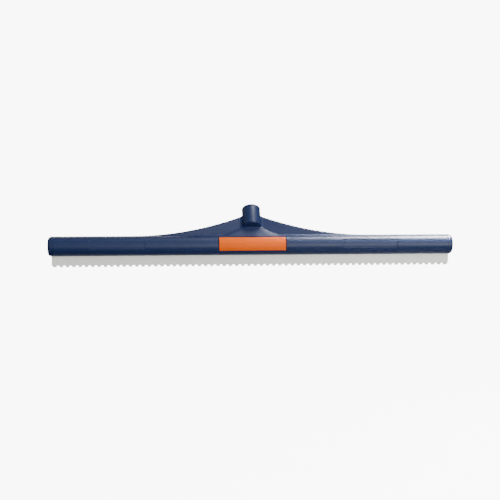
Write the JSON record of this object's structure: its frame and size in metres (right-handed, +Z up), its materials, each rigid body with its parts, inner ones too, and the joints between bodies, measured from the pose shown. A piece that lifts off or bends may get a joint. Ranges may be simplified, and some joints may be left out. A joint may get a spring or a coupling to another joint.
{
  "type": "notched floor squeegee head",
  "caption": "Long half-round squeegee head with a replaceable notched rubber blade and a leaning threaded handle socket, for spreading floor coatings and adhesive.",
  "frame": {"origin": "centre of the handle socket's mouth", "axes": "+X along the bar, to the right seen from the front; -Y out of the half-round front; +Z up, with the teeth pointing down. The handle leaves along +Y and +Z, 40 degrees from upright."},
  "size_m": [0.62, 0.0564, 0.0944],
  "materials": {
    "blue_plastic": "moulded polypropylene, satin",
    "blade_rubber": "pale grey rubber, matt",
    "grey_plastic": "extruded strip, satin",
    "orange_plastic": "moulded, satin gloss",
    "insert_metal": "turned, dull",
    "screw_steel": "zinc plated"
  },
  "bodies": {
    "head": {"rear_frame": "blue_plastic", "left_fin": "blue_plastic", "right_fin": "blue_plastic", "socket_foot": "blue_plastic", "socket_gusset": "blue_plastic", "handle_socket": "blue_plastic", "front_cover": "blue_plastic", "centre_badge": "orange_plastic", "right_end_cap": "blue_plastic", "socket_insert": "insert_metal", "cover_screws": "screw_steel"},
    "blade_cartridge": {"notched_blade": "blade_rubber", "blade_carrier": "grey_plastic", "left_end_cap": "blue_plastic"}
  },
  "joints": [
    {"name": "blade_slide", "type": "slide", "parent": "head", "child": "blade_cartridge", "axis": [-1, 0, 0], "range_m": [0, 0.62]}
  ]
}
